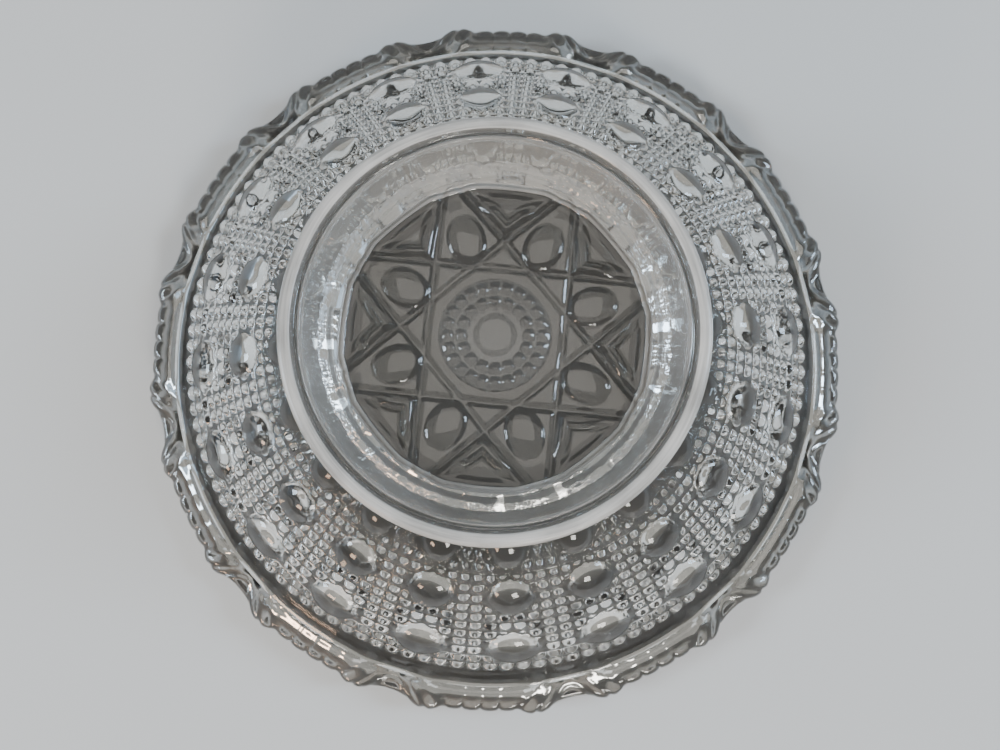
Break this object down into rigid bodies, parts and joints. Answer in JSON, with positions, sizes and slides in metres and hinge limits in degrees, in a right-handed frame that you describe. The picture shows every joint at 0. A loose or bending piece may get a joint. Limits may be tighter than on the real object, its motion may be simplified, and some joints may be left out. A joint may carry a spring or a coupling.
{
  "type": "footed glass dish",
  "caption": "Footed pressed-glass dish with a scalloped rim, oval thumbprints up its wall and a ring foot, lying upside down on its rim.",
  "frame": {"origin": "on the dish's axis, in the plane of the rim that it lies on", "axes": "+Z along the axis from the rim to the foot: the dish lies upside down, so it is turned half round about X to stand on its foot. The first rim notch is 12.5 degrees from +X towards +Y."},
  "size_m": [0.1622, 0.1622, 0.049],
  "materials": {
    "bowl_glass": "clear, fire-polished, pressed relief",
    "foot_glass": "clear, fire-polished, fine wear on the rest face"
  },
  "bodies": {
    "root": {"bowl": "bowl_glass", "foot": "foot_glass"}
  },
  "joints": []
}
